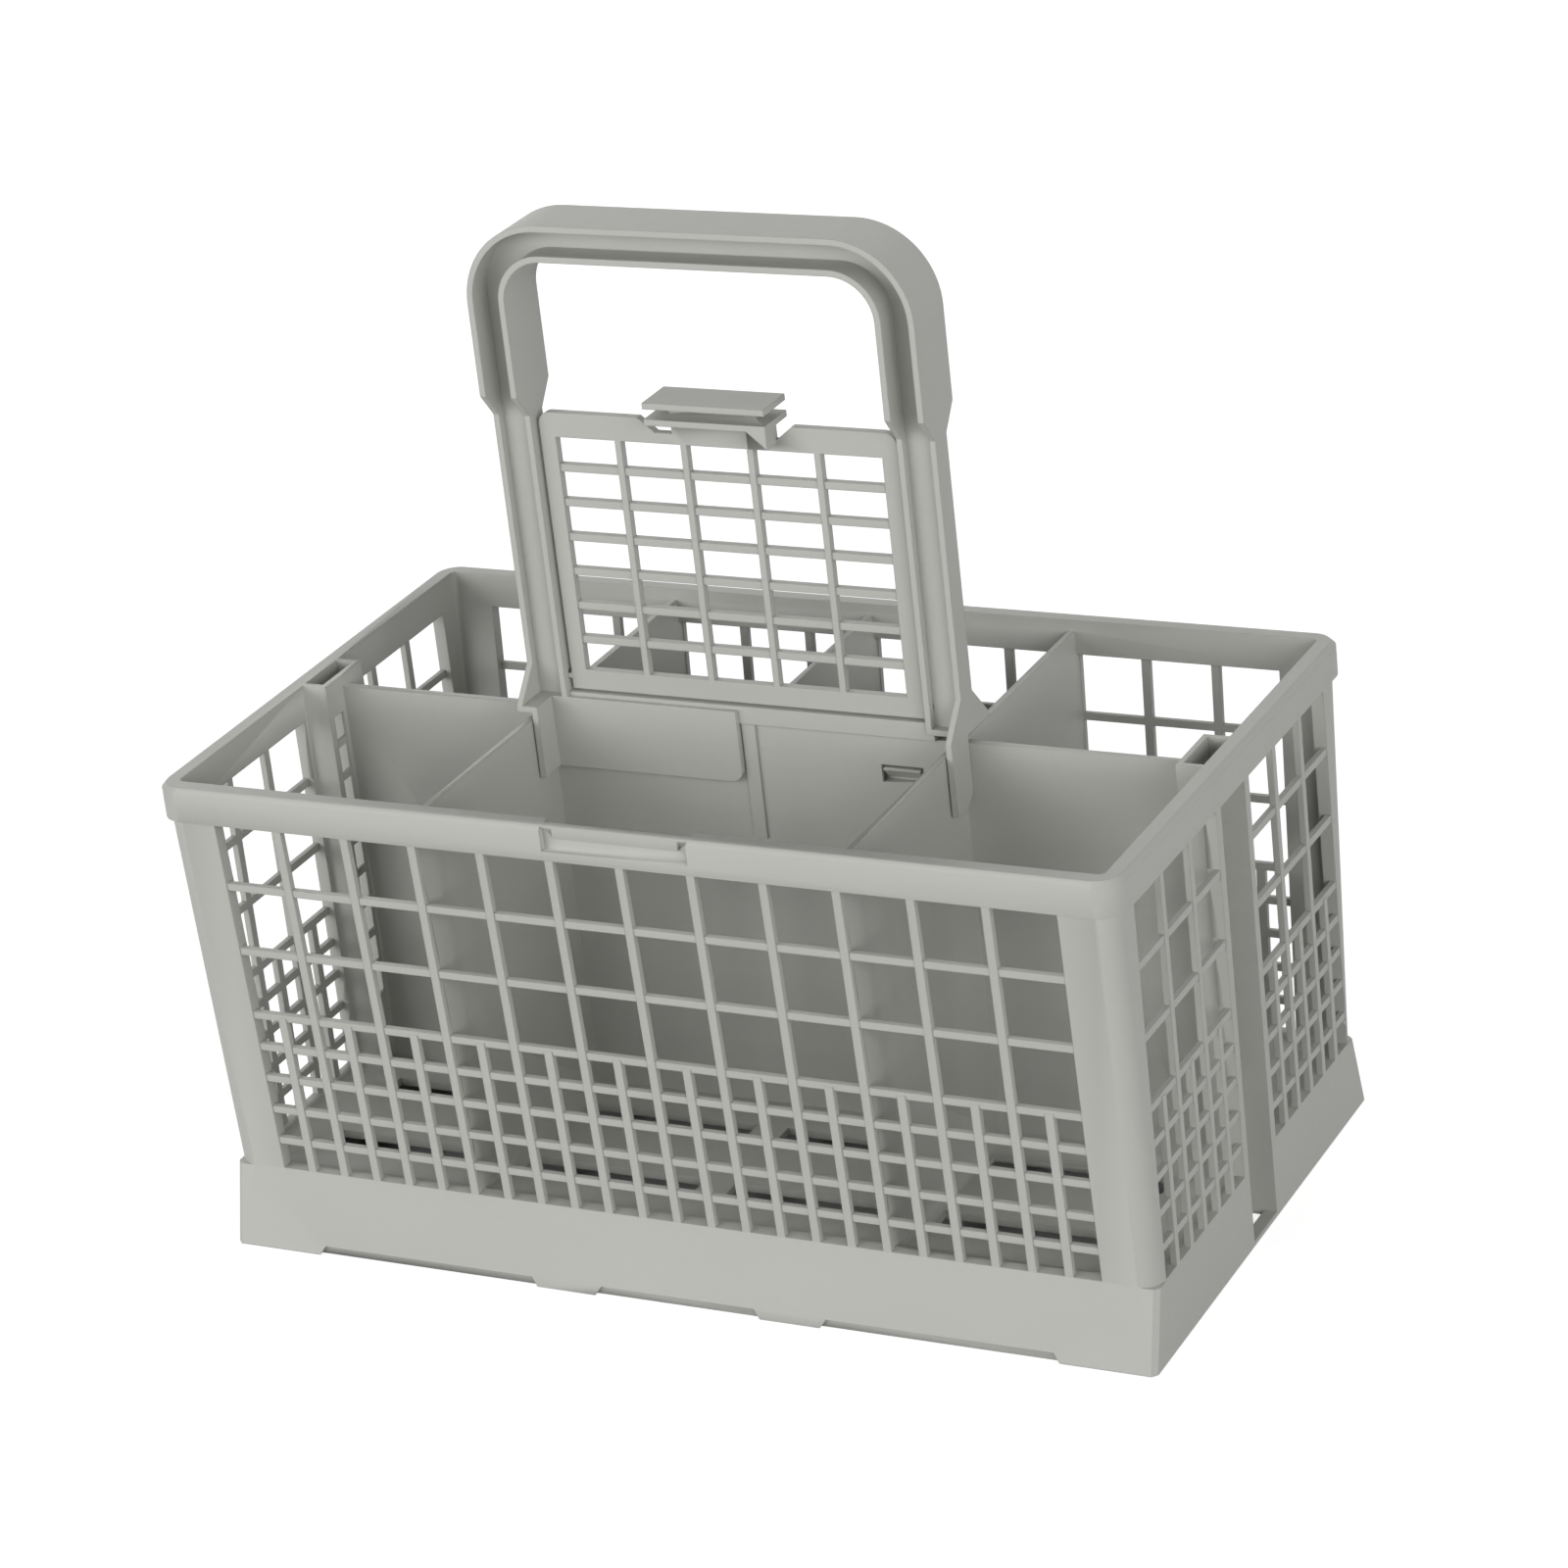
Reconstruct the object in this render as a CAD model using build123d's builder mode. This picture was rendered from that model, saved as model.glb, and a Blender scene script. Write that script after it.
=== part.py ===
from build123d import *
import os

# Dishwasher cutlery basket with a clip-on handle and a fold-down mesh lid.
# Millimetres, +Z up, front towards -Y, origin at the bottom centre of the basket.

# Basket, overall
rim_length = 240.0
rim_depth = 140.0
basket_height = 120.5

# Basket walls
wall = 3.2
corner_radius = 5.0
inner_corner = 1.0
wall_lean = 5.8
skirt_height = 19.1
skirt_kick = 5.3
skirt_corner = 1.2
floor_thickness = 2.0
sill = 0.8

# Rim band
rim_proud = 1.4
rim_band = 8.3
rim_chamfer = 1.2

# Window grid: upright bars outside, level bars behind them
bar = 2.1
level_bar = 1.9
upright_depth = 1.6
grid_bite = 0.2
grid_sill = 0.3
cut_past = 1.0
columns = 12
end_columns = 3
large_rows = 3
small_rows = 5
corner_post = 13.4
end_post = 4.6
pillar_post = 1.4
lintel = 0.5

# Feet under the long walls
foot_recess_height = 2.2
foot_recess_depth = 1.2
foot_recess_slant = 1.5
middle_recess = 42.5
side_recess = 59.0
foot_width = 15.2

# Grooves in the end walls
groove_width = 14.4
groove_depth = 8.0
pillar_wall = 1.4
groove_ledge = 1.2
slit_width = 4.4
slit_gap = 1.2
slit_depth = 0.7
slit_rows = 9

# Inner walls
centre_wall = 2.0
divider = 1.6
inner_wall_drop = 2.9
stop_rib_width = 3.5
stop_rib_proud = 0.6
stop_rib_height = 29.0

# Floor slots
floor_slot_rows = 2
floor_slot_width = 8.0
floor_slot_pitch = 28.0
floor_slot_bar = 8.0

# Catch between the handle and the centre wall
catch_x = 38.3
catch_width = 10.5
catch_height = 4.3
catch_drop = 7.4
catch_play = 0.6

# Handle
handle_height = 238.5
grip_thickness = 8.6
grip_depth = 15.5
grip_radius = 19.3
grip_inner_radius = 10.4
post_width = 9.6
post_depth = 6.0
flange = 1.5
web = 2.0
grip_end = 197.0
grip_blend = 6.0
flare_height = 8.0
foot_depth = 20.6
foot_thickness = 1.5
leg_play = 0.4
leg_thickness = 1.5
leg_drop = 14.5
clip_play = 0.2
clip_thickness = 1.8
clip_corner = 3.0
seat_depth = 3.8
seat_step = 1.0

# Lid
lid_play = 0.9
lid_thickness = 2.0
lid_rail = 4.0
lid_bottom_rail = 5.0
lid_top_rail = 6.0
lid_bar = 1.6
lid_level_bar = 1.9
lid_columns = 5
lid_rows = 7
lid_corner = 3.0
hinge_height = 8.2
hinge_pin = 2.4
hinge_fit = 0.08
hinge_end_play = 0.2
hinge_below = 3.2
swing_play = 0.4

# Latch on the lid and its seat in the front rim
latch_length = 30.6
latch_plate = 1.5
latch_reach = 5.6
latch_tongue = 1.7
latch_play = 0.1
latch_tip_play = 0.6
latch_side_play = 3.0
latch_web = 22.0
latch_leg = 4.9
latch_leg_drop = 4.1
latch_notch = 3.4
latch_notch_play = 4.2
latch_notch_slant = 4.2
latch_seat = 1.0
latch_lip = 2.3
latch_pocket = 0.8
latch_pocket_height = 3.0
latch_pocket_end = 2.7
latch_pocket_roof = 0.8

# Worked out from the values above
wall_length = rim_length - 2 * rim_proud
top_half = rim_depth / 2 - rim_proud
kink_half = top_half - wall_lean
foot_half = kink_half + skirt_kick
rim_low = basket_height - rim_band
inner_length = wall_length - 2 * wall
rim_inner = top_half - wall
floor_top = skirt_height - sill
floor_low = floor_top - floor_thickness
skirt_inner = kink_half + skirt_kick * (1 - floor_low / skirt_height) - wall
floor_half = kink_half - wall - wall_lean * sill / (rim_low - skirt_height)

lean_run = (wall_lean ** 2 + (rim_low - skirt_height) ** 2) ** 0.5
lean_y = wall_lean / lean_run
lean_z = (rim_low - skirt_height) / lean_run
long_grid = wall_length - 2 * corner_post
pitch = (long_grid + bar) / columns
grid_height = rim_low - lintel - skirt_height - grid_sill
cell = (grid_height + level_bar) / (small_rows + 2 * large_rows)
large_low = small_rows * cell
small_top = large_low - level_bar / 2
pillar_half = groove_width / 2 + pillar_wall
end_inner = pillar_half + pillar_post
end_outer = kink_half - end_post
end_grid = end_outer - end_inner
end_centre = (end_outer + end_inner) / 2
groove_x = wall_length / 2 - groove_depth
pillar_x = groove_x - pillar_wall
pillar_length = inner_length / 2 - pillar_x
pillar_centre = (inner_length / 2 + pillar_x) / 2
groove_centre = (inner_length / 2 + groove_x) / 2
slit_y = centre_wall / 2 + slit_gap + slit_width / 2
slit_height = slit_rows * cell - level_bar
slit_centre = rim_low - lintel - slit_height / 2
side_recess_x = middle_recess / 2 + foot_width + side_recess / 2

slot_centre = (floor_half + centre_wall / 2) / 2
inner_top = basket_height - inner_wall_drop
divider_x = 3 * pitch
divider_end = upright_depth - grid_bite
catch_z = inner_top - catch_drop - catch_height / 2

post_out = divider_x + divider / 2 + leg_play + flange
post_in = post_out - post_width
web_width = post_width - 2 * flange
grip_low = handle_height - grip_thickness
leg_out = divider_x - divider / 2 - leg_play
leg_in = leg_out - leg_thickness
leg_low = inner_top - leg_drop
clip_y = centre_wall / 2 + clip_play
clip_end = stop_rib_width / 2 + 2 * clip_play

hinge_z = inner_top + hinge_height
swing_radius = ((lid_thickness / 2) ** 2 + hinge_below ** 2) ** 0.5
seat_top = hinge_z - swing_radius - swing_play
foot_top = seat_top - seat_step
foot_low = foot_top - foot_thickness
lid_half = post_in - lid_play
lid_low = hinge_z - hinge_below
grid_low = lid_low + lid_bottom_rail
tongue_outer = rim_depth / 2 - latch_seat
tongue_inner = tongue_outer - latch_tongue
latch_low_top = hinge_z + tongue_inner - latch_play
latch_high_low = hinge_z + tongue_outer + latch_tip_play
lid_top = latch_low_top - latch_plate
grid_top = lid_top - lid_top_rail
lid_pitch = (2 * (lid_half - lid_rail) + lid_bar) / lid_columns
lid_row = (grid_top - grid_low + lid_level_bar) / lid_rows
seat_half = latch_length / 2 + latch_side_play
pocket_end_x = seat_half - latch_pocket_end / 2
pocket_end_low = rim_low + latch_lip + latch_pocket_height
pocket_end_height = basket_height - latch_pocket_roof - pocket_end_low
pocket_end_z = pocket_end_low + pocket_end_height / 2
notch_half = latch_length / 2 + latch_notch_play
pin_length = lid_play + flange - hinge_end_play

os.makedirs("parts", exist_ok=True)


def upright_edges(part):
    """Straight edges that run mainly up and down."""
    return part.edges().filter_by(lambda e: abs(e.tangent_at(0).Z) > 0.9)


def upright_gaps(width, centre, count):
    """Gaps between the upright bars of one wall panel: coarse above, fine below."""
    step = (width + bar) / count
    with BuildSketch() as gaps:
        with Locations((centre, grid_sill + (small_top + grid_height) / 2)):
            with GridLocations(step, 1, count, 1):
                Rectangle(step - bar, grid_height - small_top)
        with Locations((centre, grid_sill + small_top / 2)):
            with GridLocations(step / 2, 1, 2 * count, 1):
                Rectangle(step / 2 - bar, small_top)
    return gaps.sketch


def level_gaps(width, centre):
    """Gaps between the level bars of one wall panel."""
    with BuildSketch() as gaps:
        with Locations((centre, grid_sill + (small_rows * cell - level_bar) / 2)):
            with GridLocations(1, cell, 1, small_rows):
                Rectangle(width, cell - level_bar)
        with Locations((centre, grid_sill + large_low + (2 * large_rows * cell - level_bar) / 2)):
            with GridLocations(1, 2 * cell, 1, large_rows):
                Rectangle(width, 2 * cell - level_bar)
    return gaps.sketch


# Inner walls: grooved pillars, centre wall with stop rib and catch holes, cross dividers.
with BuildPart() as inner_walls:
    with BuildSketch():
        with Locations((-pillar_centre, 0), (pillar_centre, 0)):
            Rectangle(pillar_length, 2 * pillar_half)
        with Locations((-groove_centre, 0), (groove_centre, 0)):
            Rectangle(pillar_length - pillar_wall, groove_width, mode=Mode.SUBTRACT)
    extrude(amount=basket_height)

    with BuildSketch(Plane.XY.offset(floor_low)):
        Rectangle(2 * pillar_x, centre_wall)
    extrude(amount=inner_top - floor_low)
    with BuildSketch(Plane.XZ.offset(centre_wall / 2)):
        with Locations((0, inner_top - stop_rib_height / 2)):
            Rectangle(stop_rib_width, stop_rib_height)
    extrude(amount=stop_rib_proud)

    # Two cross dividers in front and three behind.
    for side, places in ((-1, (-divider_x, divider_x)), (1, (-divider_x, 0, divider_x))):
        for x in places:
            with BuildSketch(Plane.YZ.offset(x)):
                with BuildLine():
                    Polyline(
                        (0, floor_low),
                        (side * (kink_half - divider_end), floor_low),
                        (side * (kink_half - divider_end), skirt_height),
                        (side * (top_half - divider_end), rim_low),
                        (side * (top_half - divider_end), inner_top),
                        (0, inner_top),
                        close=True,
                    )
                make_face()
            extrude(amount=divider / 2, both=True)

    with BuildSketch(Plane.XZ):
        with Locations((-catch_x, catch_z), (catch_x, catch_z)):
            Rectangle(catch_width, catch_height)
    extrude(amount=centre_wall, both=True, mode=Mode.SUBTRACT)

    # Slits beside the centre wall: upright gaps on the inner face of each pillar, level ones behind.
    for side in (-1, 1):
        with BuildSketch(Plane.YZ.offset(side * (pillar_x + slit_depth))):
            with Locations((-slit_y, slit_centre), (slit_y, slit_centre)):
                Rectangle(slit_width, slit_height)
        extrude(amount=-side * slit_depth, mode=Mode.SUBTRACT)
        with BuildSketch(Plane.YZ.offset(side * (pillar_x + slit_depth))):
            with Locations((0, slit_centre)):
                with GridLocations(1, cell, 1, slit_rows):
                    Rectangle(2 * slit_y + slit_width, cell - level_bar)
        extrude(amount=side * (pillar_wall - slit_depth), mode=Mode.SUBTRACT)

# Space inside the basket, following the lean of the long walls.
with BuildPart() as inside:
    with BuildSketch(Plane.YZ.offset(-inner_length / 2)):
        with BuildLine():
            Polyline(
                (-floor_half, floor_top),
                (floor_half, floor_top),
                (rim_inner, rim_low),
                (rim_inner, basket_height),
                (-rim_inner, basket_height),
                (-rim_inner, rim_low),
                close=True,
            )
        make_face()
    extrude(amount=inner_length)
    chamfer(upright_edges(inside), inner_corner)

long_uprights = upright_gaps(long_grid, 0, columns)
long_levels = level_gaps(long_grid, 0)
end_uprights = [upright_gaps(end_grid, side * end_centre, end_columns) for side in (-1, 1)]
end_levels = [level_gaps(end_grid, side * end_centre) for side in (-1, 1)]

# Basket: one moulding with walls, rim, skirt, floor and inner walls.
with BuildPart() as basket:
    with BuildSketch(Plane.YZ.offset(-wall_length / 2)):
        with BuildLine():
            Polyline(
                (-kink_half, skirt_height),
                (kink_half, skirt_height),
                (top_half, rim_low),
                (-top_half, rim_low),
                close=True,
            )
        make_face()
    extrude(amount=wall_length)
    fillet(upright_edges(basket), corner_radius)

    # Skirt that kicks out below the windows.
    with BuildSketch(Plane.YZ.offset(-wall_length / 2)):
        with BuildLine():
            Polyline(
                (-foot_half, 0),
                (foot_half, 0),
                (kink_half, skirt_height),
                (-kink_half, skirt_height),
                close=True,
            )
        make_face()
    extrude(amount=wall_length)
    chamfer(upright_edges(basket).filter_by(lambda e: e.center().Z < skirt_height), skirt_corner)

    with BuildSketch(Plane.XY.offset(rim_low)):
        RectangleRounded(rim_length, rim_depth, corner_radius + rim_proud)
    extrude(amount=rim_band)
    chamfer(basket.faces().sort_by(Axis.Z)[-1].outer_wire().edges(), rim_chamfer)

    add(inside.part, mode=Mode.SUBTRACT)
    with BuildSketch(Plane.YZ.offset(-inner_length / 2)):
        with BuildLine():
            Polyline(
                (-(foot_half - wall), 0),
                (foot_half - wall, 0),
                (skirt_inner, floor_low),
                (-skirt_inner, floor_low),
                close=True,
            )
        make_face()
    extrude(amount=inner_length, mode=Mode.SUBTRACT)

    # Shallow recesses that leave feet along the lower edge of both long walls.
    for face, inward in ((Plane.XZ.offset(foot_half), -1), (Plane.XZ.offset(-foot_half), 1)):
        with BuildSketch(face):
            for x, run in ((-side_recess_x, side_recess), (0, middle_recess), (side_recess_x, side_recess)):
                with BuildLine():
                    Polyline(
                        (x - run / 2, 0),
                        (x + run / 2, 0),
                        (x + run / 2 - foot_recess_slant, foot_recess_height),
                        (x - run / 2 + foot_recess_slant, foot_recess_height),
                        close=True,
                    )
                make_face()
        extrude(amount=inward * foot_recess_depth, mode=Mode.SUBTRACT)

    # Drain slots in the floor, between the dividers.
    with BuildSketch(Plane.XY.offset(floor_low)):
        with Locations((0, -slot_centre), (0, slot_centre)):
            with GridLocations(divider_x, floor_slot_pitch, 4, floor_slot_rows):
                Rectangle(divider_x - floor_slot_bar, floor_slot_width)
    extrude(amount=floor_thickness, mode=Mode.SUBTRACT)

    # Seat for the lid's latch: the front rim thinned to a tongue, with a pocket below its strip.
    for start, depth in ((tongue_outer, latch_seat), (rim_inner, tongue_inner - rim_inner)):
        with BuildSketch(Plane.XZ.offset(start)):
            with Locations((0, basket_height)):
                Rectangle(2 * seat_half, 2 * (rim_band - latch_lip))
        extrude(amount=depth, mode=Mode.SUBTRACT)
    with BuildSketch(Plane.XZ.offset(tongue_outer - latch_pocket)):
        with Locations((0, rim_low + latch_lip + latch_pocket_height / 2)):
            Rectangle(2 * seat_half, latch_pocket_height)
        with Locations((-pocket_end_x, pocket_end_z), (pocket_end_x, pocket_end_z)):
            Rectangle(latch_pocket_end, pocket_end_height)
    extrude(amount=latch_pocket, mode=Mode.SUBTRACT)

    # Grooves up the middle of both end walls, from a thin ledge to the rim.
    with BuildSketch(Plane.XY.offset(groove_ledge)):
        with Locations((-wall_length / 2, 0), (wall_length / 2, 0)):
            Rectangle(2 * groove_depth, groove_width)
    extrude(amount=rim_low - groove_ledge, mode=Mode.SUBTRACT)

    # Window grids: upright bars in the outer layer, level bars in the inner one.
    for side in (-1, 1):
        outward = (0, side * lean_z, -lean_y)
        face = Plane(origin=(0, side * kink_half, skirt_height), x_dir=(-side, 0, 0), z_dir=outward)
        with BuildSketch(face.offset(-upright_depth)):
            add(long_uprights)
        extrude(amount=upright_depth + cut_past, mode=Mode.SUBTRACT, clean=False)
        with BuildSketch(face.offset(-upright_depth)):
            add(long_levels)
        extrude(amount=upright_depth - wall - cut_past, mode=Mode.SUBTRACT, clean=False)
    for side in (-1, 1):
        face = Plane(origin=(side * wall_length / 2, 0, skirt_height), x_dir=(0, side, 0), z_dir=(side, 0, 0))
        with BuildSketch(face.offset(-upright_depth)):
            add(end_uprights)
        extrude(amount=upright_depth + cut_past, mode=Mode.SUBTRACT, clean=False)
        with BuildSketch(face.offset(-upright_depth)):
            add(end_levels)
        extrude(amount=upright_depth - wall - cut_past, mode=Mode.SUBTRACT, clean=False)

    add(inner_walls.part, clean=False)

basket.part.label = "basket"
export_step(basket.part, "parts/basket.step")


def hoop(half, top, radius, thickness, low):
    """Front outline of an upside-down U with its outer face at half and top."""
    with BuildSketch() as outline:
        with BuildLine():
            outer = FilletPolyline((-half, low), (-half, top), (half, top), (half, low), radius=radius)
            inner = FilletPolyline(
                (-half + thickness, low),
                (-half + thickness, top - thickness),
                (half - thickness, top - thickness),
                (half - thickness, low),
                radius=radius - thickness,
            )
            Line(outer @ 0, inner @ 0)
            Line(outer @ 1, inner @ 1)
        make_face()
    return outline.sketch


def side_view(foot_half_depth):
    """Side outline of the handle: deep at the grip, slim at the posts, flared at the feet."""
    grip_half = grip_depth / 2
    post_half = post_depth / 2
    with BuildSketch() as outline:
        with BuildLine():
            for side in (-1, 1):
                Polyline(
                    (0, handle_height),
                    (side * grip_half, handle_height),
                    (side * grip_half, grip_end),
                    (side * post_half, grip_end - grip_blend),
                    (side * post_half, foot_top + flare_height),
                    (side * foot_half_depth, foot_top),
                    (side * foot_half_depth, foot_low),
                    (0, foot_low),
                )
        make_face()
    return outline.sketch


outer_hoop = hoop(post_out, handle_height, grip_radius, flange, foot_low)
inner_hoop = hoop(post_in + flange, grip_low + flange, grip_inner_radius + flange, flange, foot_low)
web_hoop = hoop(post_out - flange, handle_height - flange, grip_radius - flange, web_width, foot_low)
flared_side = side_view(foot_depth / 2)
plain_side = side_view(post_depth / 2)

# Outer flange of the handle, flared at the feet.
with BuildPart() as outer_flange:
    with BuildSketch(Plane.XZ):
        add(outer_hoop)
    extrude(amount=foot_depth / 2, both=True)
    with BuildSketch(Plane.YZ):
        add(flared_side)
    extrude(amount=post_out, both=True, mode=Mode.INTERSECT)

# Inner flange of the handle.
with BuildPart() as inner_flange:
    with BuildSketch(Plane.XZ):
        add(inner_hoop)
    extrude(amount=grip_depth / 2, both=True)
    with BuildSketch(Plane.YZ):
        add(plain_side)
    extrude(amount=post_out, both=True, mode=Mode.INTERSECT)

# Clip plate with its leg beside the divider, and the straight leg of the other post.
with BuildPart() as clip:
    with BuildSketch(Plane.XY.offset(leg_low)):
        with BuildLine():
            Polyline(
                (-leg_out, -foot_depth / 2),
                (-leg_in, -foot_depth / 2),
                (-leg_in, -clip_y - clip_thickness),
                (-clip_end, -clip_y - clip_thickness),
                (-clip_end, -clip_y),
                (-leg_out, -clip_y),
                close=True,
            )
        make_face()
    extrude(amount=foot_top - leg_low)
    fillet(clip.edges().filter_by(Axis.Y).group_by(Axis.Z)[0].sort_by(Axis.X)[-1], clip_corner)

    with BuildSketch(Plane.XY.offset(foot_low)):
        with Locations((-(post_out + leg_in) / 2, -foot_depth / 4)):
            Rectangle(post_out - leg_in, foot_depth / 2)
    extrude(amount=foot_top - foot_low)

    with BuildSketch(Plane.YZ.offset(post_out - flange)):
        with BuildLine():
            Polyline(
                (-clip_y, foot_low),
                (-foot_depth / 2, foot_low),
                (-foot_depth / 2, leg_low),
                (-foot_depth / 4, leg_low),
                (-clip_y, leg_low + foot_depth / 8),
                close=True,
            )
        make_face()
    extrude(amount=flange)

    with BuildSketch(Plane.YZ.offset(-catch_x - catch_width / 2 + catch_play)):
        with BuildLine():
            Polyline(
                (-clip_y, catch_z + catch_height / 2 - catch_play),
                (centre_wall / 2, catch_z + catch_height / 2 - catch_play),
                (centre_wall / 2 + catch_play, catch_z + catch_height / 4),
                (-clip_y, catch_z - catch_height / 2 + catch_play),
                close=True,
            )
        make_face()
    extrude(amount=catch_width - 2 * catch_play)

# Handle: one moulding, the same after half a turn about Z.
with BuildPart() as handle:
    add(outer_flange.part)
    add(inner_flange.part)
    with BuildSketch(Plane.XZ):
        add(web_hoop)
    extrude(amount=web / 2, both=True)
    with BuildSketch(Plane.XY.offset(foot_low)):
        with Locations((-(post_out + post_in) / 2, 0), ((post_out + post_in) / 2, 0)):
            Rectangle(post_width, post_depth)
    extrude(amount=foot_top - foot_low)
    with BuildSketch(Plane.XY.offset(inner_top)):
        Rectangle(2 * post_in + 2 * flange, seat_depth)
    extrude(amount=seat_top - inner_top)
    add(clip.part)
    add(clip.part.rotate(Axis.Z, 180))
    for face, outward in ((-post_in, -1), (post_in, 1)):
        with BuildSketch(Plane.YZ.offset(face)):
            with Locations((0, hinge_z)):
                Circle(hinge_pin / 2 + hinge_fit)
        extrude(amount=outward * flange, mode=Mode.SUBTRACT)

handle.part.label = "handle"
export_step(handle.part, "parts/handle.step")

# Lid: mesh flap with hinge pins below and a two-plate latch on top, with a leg under one end.
with BuildPart() as lid:
    with BuildSketch(Plane.XZ) as flap:
        with Locations((0, (lid_low + lid_top) / 2)):
            Rectangle(2 * lid_half, lid_top - lid_low)
        fillet(flap.vertices().group_by(Axis.Y)[-1], lid_corner)
        with BuildLine():
            Polyline(
                (-notch_half, lid_top),
                (notch_half, lid_top),
                (notch_half - latch_notch_slant, lid_top - latch_notch),
                (-notch_half + latch_notch_slant, lid_top - latch_notch),
                close=True,
            )
        make_face(mode=Mode.SUBTRACT)
    extrude(amount=lid_thickness / 2, both=True)

    # Upright bars in front, level bars behind.
    with BuildSketch(Plane.XZ):
        with Locations((0, (grid_low + grid_top) / 2)):
            with GridLocations(lid_pitch, 1, lid_columns, 1):
                Rectangle(lid_pitch - lid_bar, grid_top - grid_low)
    extrude(amount=lid_thickness / 2 + cut_past, mode=Mode.SUBTRACT)
    with BuildSketch(Plane.XZ):
        with Locations((0, (grid_low + grid_top) / 2)):
            with GridLocations(1, lid_row, 1, lid_rows):
                Rectangle(2 * (lid_half - lid_rail), lid_row - lid_level_bar)
    extrude(amount=-lid_thickness / 2 - cut_past, mode=Mode.SUBTRACT)

    with BuildSketch(Plane.XZ):
        with Locations((0, (lid_top - latch_notch + latch_high_low) / 2)):
            Rectangle(latch_web, latch_high_low - lid_top + latch_notch)
    extrude(amount=lid_thickness / 2, both=True)
    for low in (latch_low_top - latch_plate, latch_high_low):
        with BuildSketch(Plane.XY.offset(low)):
            Rectangle(latch_length, 2 * latch_reach)
        extrude(amount=latch_plate)
    with BuildSketch(Plane.XY.offset(lid_top - latch_leg_drop)):
        with Locations(((latch_length - latch_leg) / 2, -latch_reach / 2)):
            Rectangle(latch_leg, latch_reach)
    extrude(amount=latch_leg_drop)

    for end, outward in ((-lid_half, -1), (lid_half, 1)):
        with BuildSketch(Plane.YZ.offset(end)):
            with Locations((0, hinge_z)):
                Circle(hinge_pin / 2)
        extrude(amount=outward * pin_length)

lid.part.label = "lid"
export_step(lid.part, "parts/lid.step")
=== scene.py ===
import math

import bmesh
import bpy
from mathutils import Matrix, Vector


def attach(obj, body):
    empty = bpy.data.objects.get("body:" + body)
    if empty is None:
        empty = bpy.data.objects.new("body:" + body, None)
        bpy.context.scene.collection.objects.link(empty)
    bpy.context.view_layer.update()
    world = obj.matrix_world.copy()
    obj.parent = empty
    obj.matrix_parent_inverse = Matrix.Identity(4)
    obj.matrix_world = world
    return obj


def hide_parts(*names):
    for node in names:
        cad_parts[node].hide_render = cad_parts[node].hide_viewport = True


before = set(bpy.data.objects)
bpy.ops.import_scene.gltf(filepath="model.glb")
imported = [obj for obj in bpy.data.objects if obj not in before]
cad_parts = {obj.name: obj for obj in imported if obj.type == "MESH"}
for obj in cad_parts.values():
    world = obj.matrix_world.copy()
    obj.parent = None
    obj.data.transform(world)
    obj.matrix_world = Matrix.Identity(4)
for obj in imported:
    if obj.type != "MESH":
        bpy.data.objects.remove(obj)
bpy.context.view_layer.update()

# Camera, fitted to the photograph
CAMERA_PLACE = (0.51987, -0.95413, 0.57230)
CAMERA_RIGHT = (0.89654, 0.43029, -0.10520)
CAMERA_UP = (-0.08624, 0.40250, 0.91135)
CAMERA_BACK = (0.43449, -0.80799, 0.39797)
CAMERA_LENS = 117.0
CAMERA_SENSOR = 36.0
CAMERA_NEAREST = 0.05
CAMERA_FARTHEST = 50.0

# Colours, linear
WHITE = (1.0, 1.0, 1.0, 1.0)
PLASTIC_LIGHT = (0.440, 0.445, 0.414, 1.0)
PLASTIC_DARK = (0.405, 0.410, 0.381, 1.0)
FLOOR_COLOUR = (0.40, 0.40, 0.40, 1.0)

# Plastic: scale and detail of its noises, roughness, softened edges and grain
DRIFT_SCALE = 22.0
DRIFT_DETAIL = 3.0
SPECK_SCALE = 420.0
GRAIN_SCALE = 1500.0
FINE_DETAIL = 2.0
SMOOTHEST = 0.48
ROUGHEST = 0.64
EDGE_RADIUS = 0.0004
EDGE_SAMPLES = 2
GRAIN_STRENGTH = 0.12
GRAIN_HEIGHT = 0.0001
SPECULAR = 0.5
SEED_STEP = 3.0

# Sockets of a colour mix node
MIX_FACTOR = 0
MIX_FIRST = 6
MIX_SECOND = 7
MIX_RESULT = 2

# Floor: its size, and its glow, which leaves out the ground under the basket as painted shade
FLOOR_HALF = 6.0
FLOOR_HEIGHT = -0.0002
FLOOR_ROUGHNESS = 0.9
FLOOR_GLOW = 0.82
FLOOR_GLOW_FAR = 1.0
GLOW_RISES_FROM = 0.5
GLOW_RISES_TO = 1.2
# The ground under the basket, where the glow is left out as painted shade
PAINTED_SHADE_X = 0.117
PAINTED_SHADE_Y = 0.0665
GROOVE_X = 0.110
GROOVE_Y = 0.0079

# Light: low soft boxes round the front and the right, weak ones above and behind
WORLD_LIGHT = 0.01
LAMP_AIM = (0.0, 0.0, 0.1)
LAMP_SIZE = 1.3
LAMPS = (
    ("left", (-1.8, -1.6, 0.72), 21.5),
    ("front", (-0.8, -2.2, 0.72), 21.5),
    ("right", (1.7, -1.6, 0.72), 24.5),
    ("far_right", (2.3, -0.7, 0.8), 14.0),
    ("above", (0.0, 0.0, 2.4), 8.5),
    ("behind", (0.0, 1.8, 1.7), 9.0),
    ("left_behind", (-1.6, 1.4, 1.4), 11.0),
)

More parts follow.
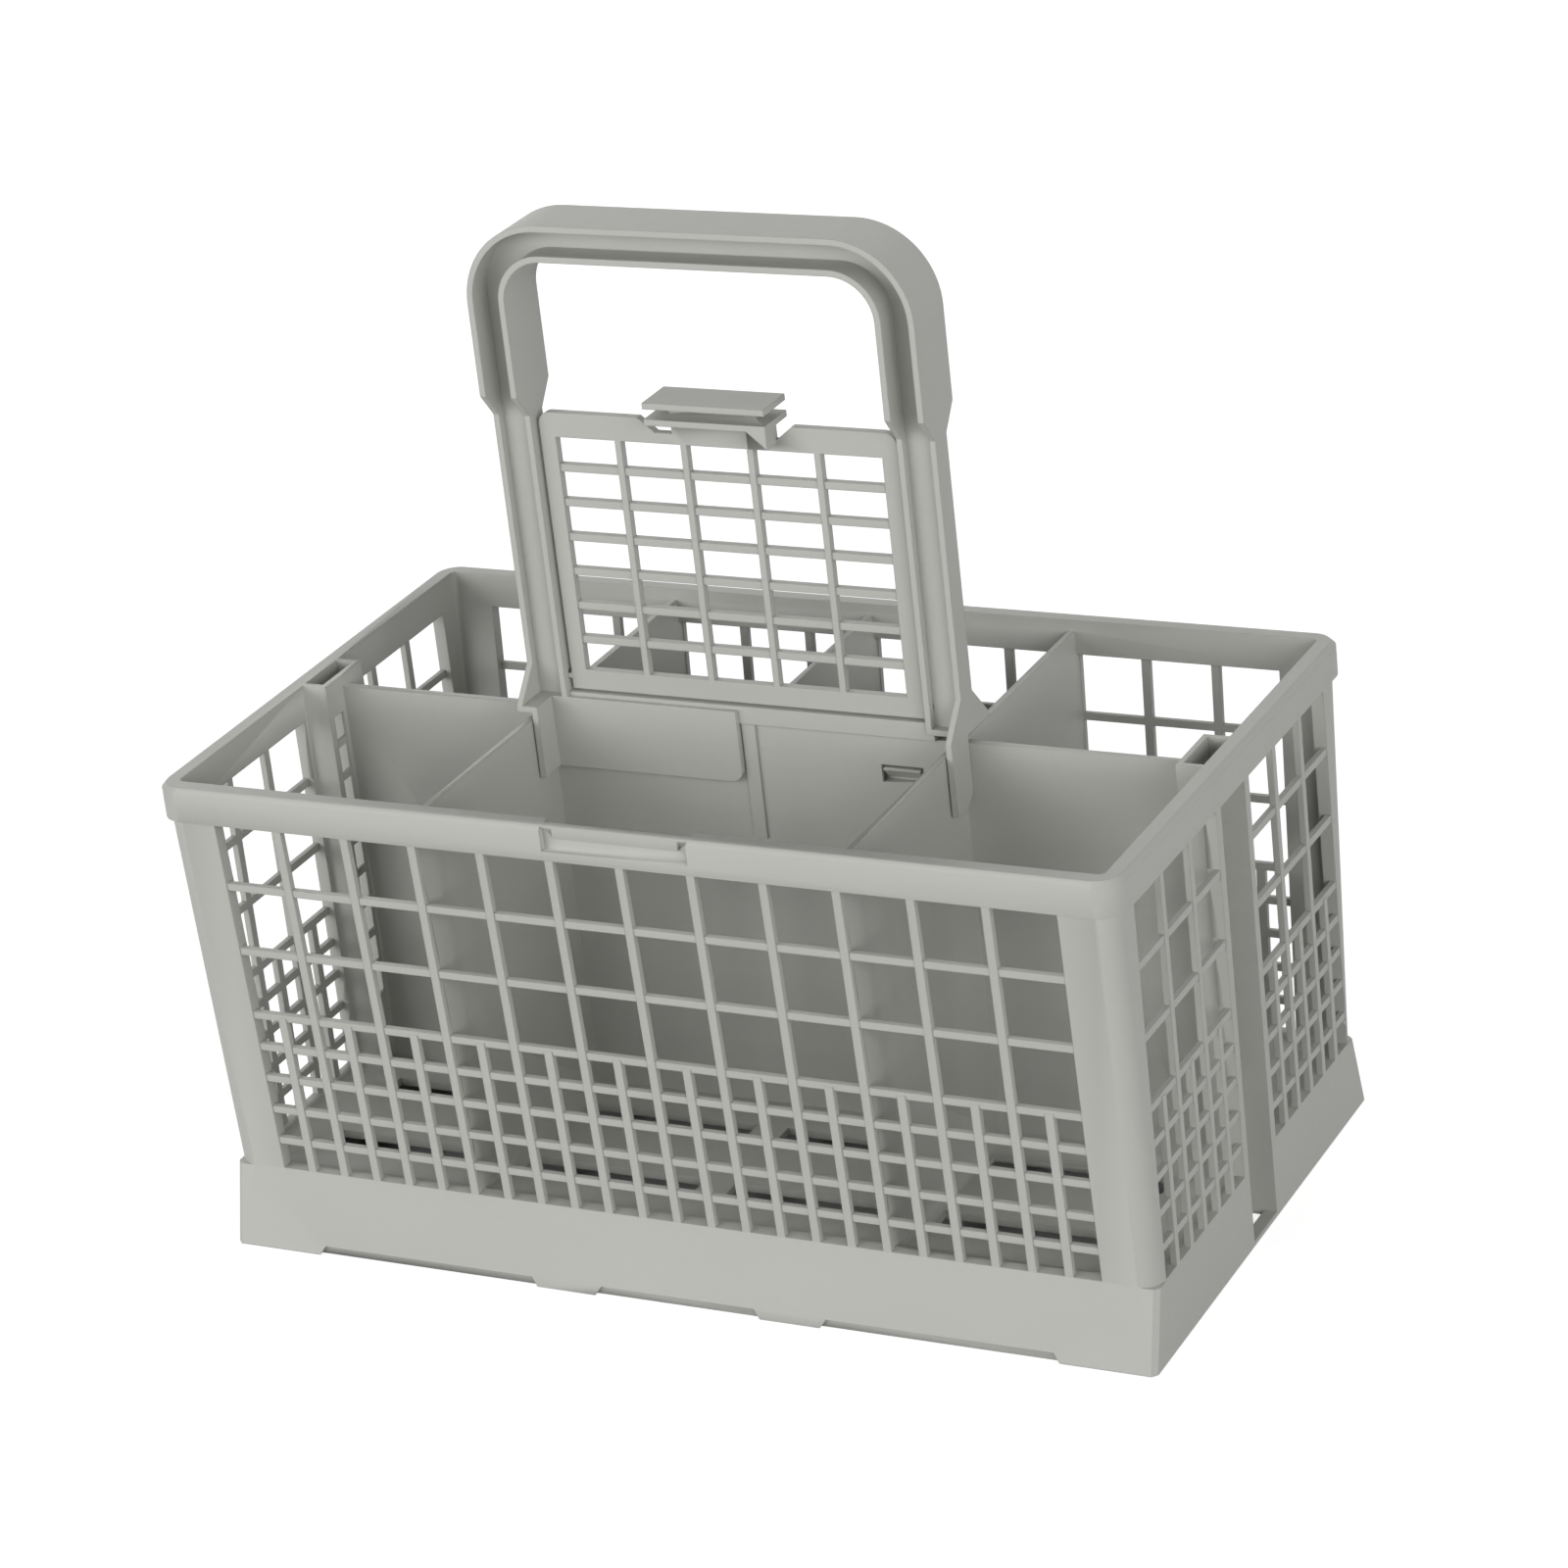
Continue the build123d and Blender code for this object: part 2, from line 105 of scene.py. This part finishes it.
# Window grids of the basket, metres: places and bars as in the part's source, depth as in the photograph
SKIRT = 0.0191
KINK_HALF = 0.0628
LEAN = 0.0058
LEAN_HEIGHT = 0.0931
LEAN_Y = LEAN / math.hypot(LEAN, LEAN_HEIGHT)
LEAN_Z = LEAN_HEIGHT / math.hypot(LEAN, LEAN_HEIGHT)
WALL = 0.00319
END_X = 0.1186
BAR = 0.0021
LEVEL_BAR = 0.0019
GRID_DEPTH = 0.00155
GRID_LOW = 0.0003
GRID_HEIGHT = 0.0923
SMALL_CELLS = 11
CELL = (GRID_HEIGHT + LEVEL_BAR) / SMALL_CELLS
LEVEL_ROWS = (1, 2, 3, 4, 5, 7, 9)
LONG_GRID = 0.2104
COLUMNS = 12
DIVIDER_COLUMN = 3
DIVIDER_X = DIVIDER_COLUMN * (LONG_GRID + BAR) / COLUMNS
DIVIDER = 0.0016
END_GRID = 0.0482
END_CENTRE = 0.0341
LEVEL_STEP = 0.0002

# Grid of the lid
LID_THICKNESS = 0.002
LID_GRID = 0.08265
LID_GRID_LOW = 0.1276
LID_GRID_HEIGHT = 0.0579
LID_BAR = 0.0016
LID_LEVEL_BAR = 0.0019
LID_COLUMNS = 5
LID_ROWS = 7
LID_STEP = 0.0003

# How the cuts and the added bars meet the mouldings
CUT_PAST = 0.0005
BITE = 0.0002
INSET = 0.00002
WELD = 0.000001
SMOOTH_BELOW = 25.0


def plastic(name, seed):
    """Matte moulded plastic: faint colour drift, uneven roughness, fine grain and softened edges."""
    material = bpy.data.materials.new(name)
    material.use_nodes = True
    nodes = material.node_tree.nodes
    links = material.node_tree.links
    nodes.clear()
    output = nodes.new("ShaderNodeOutputMaterial")
    shader = nodes.new("ShaderNodeBsdfPrincipled")
    place = nodes.new("ShaderNodeTexCoord")

    drift = nodes.new("ShaderNodeTexNoise")
    drift.noise_dimensions = "4D"
    drift.inputs["W"].default_value = seed
    drift.inputs["Scale"].default_value = DRIFT_SCALE
    drift.inputs["Detail"].default_value = DRIFT_DETAIL
    colour = nodes.new("ShaderNodeMix")
    colour.data_type = "RGBA"
    colour.inputs[MIX_FIRST].default_value = PLASTIC_DARK
    colour.inputs[MIX_SECOND].default_value = PLASTIC_LIGHT

    speck = nodes.new("ShaderNodeTexNoise")
    speck.inputs["Scale"].default_value = SPECK_SCALE
    speck.inputs["Detail"].default_value = FINE_DETAIL
    rough = nodes.new("ShaderNodeMapRange")
    rough.inputs["To Min"].default_value = SMOOTHEST
    rough.inputs["To Max"].default_value = ROUGHEST

    grain = nodes.new("ShaderNodeTexNoise")
    grain.inputs["Scale"].default_value = GRAIN_SCALE
    grain.inputs["Detail"].default_value = FINE_DETAIL
    edge = nodes.new("ShaderNodeBevel")
    edge.samples = EDGE_SAMPLES
    edge.inputs["Radius"].default_value = EDGE_RADIUS
    bump = nodes.new("ShaderNodeBump")
    bump.inputs["Strength"].default_value = GRAIN_STRENGTH
    bump.inputs["Distance"].default_value = GRAIN_HEIGHT

    for texture in (drift, speck, grain):
        links.new(place.outputs["Object"], texture.inputs["Vector"])
    links.new(drift.outputs["Fac"], colour.inputs[MIX_FACTOR])
    links.new(colour.outputs[MIX_RESULT], shader.inputs["Base Color"])
    links.new(speck.outputs["Fac"], rough.inputs["Value"])
    links.new(rough.outputs["Result"], shader.inputs["Roughness"])
    links.new(edge.outputs["Normal"], bump.inputs["Normal"])
    links.new(grain.outputs["Fac"], bump.inputs["Height"])
    links.new(bump.outputs["Normal"], shader.inputs["Normal"])
    links.new(shader.outputs["BSDF"], output.inputs["Surface"])
    shader.inputs["Specular IOR Level"].default_value = SPECULAR
    return material


def math_node(nodes, links, operation, *values):
    """Output of a math node whose inputs are plain numbers or other nodes' outputs."""
    node = nodes.new("ShaderNodeMath")
    node.operation = operation
    for socket, value in zip(node.inputs, values):
        if isinstance(value, float):
            socket.default_value = value
        else:
            links.new(value, socket)
    return node.outputs[0]


def seen_directly(nodes, links):
    """Output that is 1 for rays from the camera, a glossy surface or glass, and 0 for other light."""
    ray = nodes.new("ShaderNodeLightPath")
    value = ray.outputs["Is Camera Ray"]
    for kind in ("Is Glossy Ray", "Is Transmission Ray"):
        value = math_node(nodes, links, "MAXIMUM", value, ray.outputs[kind])
    return value


def floor_outside_painted_shade(nodes, links):
    """Output that is 1 on the floor round the basket and in its end grooves, and 0 under it, where
    leaving out the glow paints shade.
    """
    place = nodes.new("ShaderNodeTexCoord")
    split = nodes.new("ShaderNodeSeparateXYZ")
    links.new(place.outputs["Object"], split.inputs[0])
    along = math_node(nodes, links, "ABSOLUTE", split.outputs[0])
    across = math_node(nodes, links, "ABSOLUTE", split.outputs[1])
    past_end = math_node(nodes, links, "GREATER_THAN", along, PAINTED_SHADE_X)
    past_side = math_node(nodes, links, "GREATER_THAN", across, PAINTED_SHADE_Y)
    near_end = math_node(nodes, links, "GREATER_THAN", along, GROOVE_X)
    near_middle = math_node(nodes, links, "LESS_THAN", across, GROOVE_Y)
    in_groove = math_node(nodes, links, "MINIMUM", near_end, near_middle)
    outside = math_node(nodes, links, "MAXIMUM", past_end, past_side)
    return math_node(nodes, links, "MAXIMUM", outside, in_groove)


def floor_glow(nodes, links):
    """Output with the floor's glow: full white far away, less round the basket, where a shadow falls."""
    place = nodes.new("ShaderNodeTexCoord")
    distance = nodes.new("ShaderNodeVectorMath")
    distance.operation = "LENGTH"
    links.new(place.outputs["Object"], distance.inputs[0])
    rise = nodes.new("ShaderNodeMapRange")
    rise.inputs["From Min"].default_value = GLOW_RISES_FROM
    rise.inputs["From Max"].default_value = GLOW_RISES_TO
    rise.inputs["To Min"].default_value = FLOOR_GLOW
    rise.inputs["To Max"].default_value = FLOOR_GLOW_FAR
    links.new(distance.outputs["Value"], rise.inputs["Value"])
    return rise.outputs["Result"]


def frame_matrix(origin, across, outward):
    """Local frame of a wall: X across it, Y up along it, Z out of it."""
    side = Vector(across)
    out = Vector(outward).normalized()
    up = out.cross(side)
    return Matrix.Translation(origin) @ Matrix((side, up, out)).transposed().to_4x4()


def add_bar(mesh, place, across, up, depth):
    """Adds one straight bar to a bmesh; each pair is the bar's start and end in the local frame."""
    spans = (across, up, (-depth[1], -depth[0]))
    centre = [(low + high) / 2 for low, high in spans]
    size = [high - low for low, high in spans]
    shape = Matrix.Translation(centre) @ Matrix.Diagonal((*size, 1.0))
    bmesh.ops.create_cube(mesh, size=1.0, matrix=place @ shape)


def to_object(name, mesh):
    """Turns a bmesh into a linked object."""
    data = bpy.data.meshes.new(name)
    mesh.to_mesh(data)
    mesh.free()
    piece = bpy.data.objects.new(name, data)
    bpy.context.scene.collection.objects.link(piece)
    return piece


def moulding(node, name, cuts, bars):
    """Copy of a CAD node with the cuts taken off and the bars joined on, as one closed mesh."""
    shell = bmesh.new()
    shell.from_mesh(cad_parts[node].data)
    bmesh.ops.remove_doubles(shell, verts=shell.verts, dist=WELD)
    piece = to_object(name, shell)
    helpers = []
    for operation, meshes in (("DIFFERENCE", cuts), ("UNION", bars)):
        for mesh in meshes:
            helper = to_object(name + "_helper", mesh)
            helpers.append(helper)
            step = piece.modifiers.new(operation.lower(), "BOOLEAN")
            step.operation = operation
            step.solver = "MANIFOLD"
            step.object = helper
    graph = bpy.context.evaluated_depsgraph_get()
    joined = bpy.data.meshes.new_from_object(piece.evaluated_get(graph))
    piece.modifiers.clear()
    piece.data = joined
    for helper in helpers:
        bpy.data.objects.remove(helper)
    joined.polygons.foreach_set("use_smooth", [True] * len(joined.polygons))
    joined.set_sharp_from_angle(angle=math.radians(SMOOTH_BELOW))
    weighted = piece.modifiers.new("weighted", "WEIGHTED_NORMAL")
    weighted.keep_sharp = True
    return piece


def stretches(low, high, dividers):
    """Stretches of a window panel between the dividers that meet it."""
    ends = [low + INSET]
    for middle in dividers:
        ends += [middle - DIVIDER / 2 - INSET, middle + DIVIDER / 2 + INSET]
    ends.append(high - INSET)
    return list(zip(ends[0::2], ends[1::2]))


def basket_grid():
    """Cuts behind the uprights and level bars between them, to make the basket's grids one thin layer."""
    cuts = bmesh.new()
    levels = bmesh.new()
    opening = (GRID_LOW + INSET, GRID_LOW + GRID_HEIGHT - INSET)
    behind = (GRID_DEPTH, WALL + CUT_PAST)
    between = (LEVEL_STEP, GRID_DEPTH - INSET)
    panels = []
    for side, dividers in ((-1, (-DIVIDER_X, DIVIDER_X)), (1, (-DIVIDER_X, 0.0, DIVIDER_X))):
        place = frame_matrix((0, side * KINK_HALF, SKIRT), (-side, 0, 0), (0, side * LEAN_Z, -LEAN_Y))
        panels.append((place, 0.0, LONG_GRID, dividers))
        place = frame_matrix((side * END_X, 0, SKIRT), (0, side, 0), (side, 0, 0))
        panels.append((place, -END_CENTRE, END_GRID, ()))
        panels.append((place, END_CENTRE, END_GRID, ()))
    for place, centre, width, dividers in panels:
        low = centre - width / 2
        high = centre + width / 2
        for stretch in stretches(low, high, dividers):
            add_bar(cuts, place, stretch, opening, behind)
        for row in LEVEL_ROWS:
            top = GRID_LOW + row * CELL
            up = (top - LEVEL_BAR + INSET, top - INSET)
            add_bar(levels, place, (low - BITE, high + BITE), up, between)
    return [cuts], [levels]


def lid_grid():
    """Bars that bring both layers of the lid's grid to its full thickness: uprights and level bars."""
    uprights = bmesh.new()
    levels = bmesh.new()
    place = frame_matrix((0, -LID_THICKNESS / 2, LID_GRID_LOW), (1, 0, 0), (0, -1, 0))
    step = (LID_GRID + LID_BAR) / LID_COLUMNS
    row = (LID_GRID_HEIGHT + LID_LEVEL_BAR) / LID_ROWS
    back = (LID_THICKNESS / 2 - BITE, LID_THICKNESS - INSET)
    front = (LID_STEP, LID_THICKNESS / 2 + BITE)
    for number in range(1, LID_COLUMNS):
        middle = number * step - LID_GRID / 2 - LID_BAR / 2
        span = (middle - LID_BAR / 2 + INSET, middle + LID_BAR / 2 - INSET)
        add_bar(uprights, place, span, (-BITE, LID_GRID_HEIGHT + BITE), back)
    for number in range(1, LID_ROWS):
        top = number * row
        span = (-LID_GRID / 2 - BITE, LID_GRID / 2 + BITE)
        add_bar(levels, place, span, (top - LID_LEVEL_BAR + INSET, top - INSET), front)
    return [], [uprights, levels]


def area_light(name, place, aim, size, power):
    """Adds a soft square lamp that points at a spot."""
    data = bpy.data.lights.new(name, "AREA")
    data.shape = "SQUARE"
    data.size = size
    data.energy = power
    lamp = bpy.data.objects.new(name, data)
    bpy.context.scene.collection.objects.link(lamp)
    lamp.location = place
    lamp.rotation_euler = (Vector(aim) - Vector(place)).to_track_quat("-Z", "Y").to_euler()


# Pieces: the basket with thin grids, the lid with bars of full thickness, the handle as it is
basket = moulding("basket", "basket_moulding", *basket_grid())
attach(basket, "frame")
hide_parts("basket")
lid = moulding("lid", "lid_moulding", *lid_grid())
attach(lid, "lid")
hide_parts("lid")
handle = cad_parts["handle"]
for number, piece in enumerate((basket, handle, lid)):
    piece.data.materials.clear()
    piece.data.materials.append(plastic(piece.name + "_plastic", SEED_STEP * number))

# Floor
floor_data = bpy.data.meshes.new("floor")
floor_corners = [(FLOOR_HALF * x, FLOOR_HALF * y, 0) for x, y in ((-1, -1), (1, -1), (1, 1), (-1, 1))]
floor_data.from_pydata(floor_corners, [], [(0, 1, 2, 3)])
floor = bpy.data.objects.new("floor", floor_data)
bpy.context.scene.collection.objects.link(floor)
floor.location.z = FLOOR_HEIGHT
floor_material = bpy.data.materials.new("floor_white_and_painted_shade")
floor_material.use_nodes = True
floor_shader = floor_material.node_tree.nodes["Principled BSDF"]
floor_shader.inputs["Base Color"].default_value = FLOOR_COLOUR
floor_shader.inputs["Roughness"].default_value = FLOOR_ROUGHNESS
floor_shader.inputs["Specular IOR Level"].default_value = 0.0
floor_shader.inputs["Emission Color"].default_value = WHITE
floor_nodes = floor_material.node_tree.nodes
floor_links = floor_material.node_tree.links
# The glow is left out under the basket: painted shade on the ground there.
floor_white_and_painted_shade = math_node(
    floor_nodes,
    floor_links,
    "MULTIPLY",
    seen_directly(floor_nodes, floor_links),
    floor_outside_painted_shade(floor_nodes, floor_links),
)
floor_level = math_node(
    floor_nodes,
    floor_links,
    "MULTIPLY",
    floor_white_and_painted_shade,
    floor_glow(floor_nodes, floor_links),
)
floor_links.new(floor_level, floor_shader.inputs["Emission Strength"])
# The glow is only seen and lights nothing, so it isn't sampled as a lamp.
floor_material.cycles.emission_sampling = "NONE"
floor_data.materials.append(floor_material)

# Backdrop: seen as white, hardly any light otherwise
world = bpy.data.worlds.new("studio")
bpy.context.scene.world = world
world.use_nodes = True
world_nodes = world.node_tree.nodes
world_links = world.node_tree.links
world_nodes.clear()
world_output = world_nodes.new("ShaderNodeOutputWorld")
seen = world_nodes.new("ShaderNodeBackground")
seen.inputs["Color"].default_value = WHITE
seen.inputs["Strength"].default_value = 1.0
light = world_nodes.new("ShaderNodeBackground")
light.inputs["Color"].default_value = WHITE
light.inputs["Strength"].default_value = WORLD_LIGHT
choice = world_nodes.new("ShaderNodeMixShader")
world_links.new(seen_directly(world_nodes, world_links), choice.inputs[0])
world_links.new(light.outputs["Background"], choice.inputs[1])
world_links.new(seen.outputs["Background"], choice.inputs[2])
world_links.new(choice.outputs["Shader"], world_output.inputs["Surface"])

# Lamps
for name, place, power in LAMPS:
    area_light(name, place, LAMP_AIM, LAMP_SIZE, power)

# Camera
camera_data = bpy.data.cameras.new("camera")
camera_data.sensor_width = CAMERA_SENSOR
camera_data.lens = CAMERA_LENS
camera_data.clip_start = CAMERA_NEAREST
camera_data.clip_end = CAMERA_FARTHEST
camera = bpy.data.objects.new("camera", camera_data)
bpy.context.scene.collection.objects.link(camera)
camera_turn = Matrix((CAMERA_RIGHT, CAMERA_UP, CAMERA_BACK)).transposed().to_4x4()
camera.matrix_world = Matrix.Translation(CAMERA_PLACE) @ camera_turn
bpy.context.scene.camera = camera

bpy.context.scene.view_settings.view_transform = "Standard"
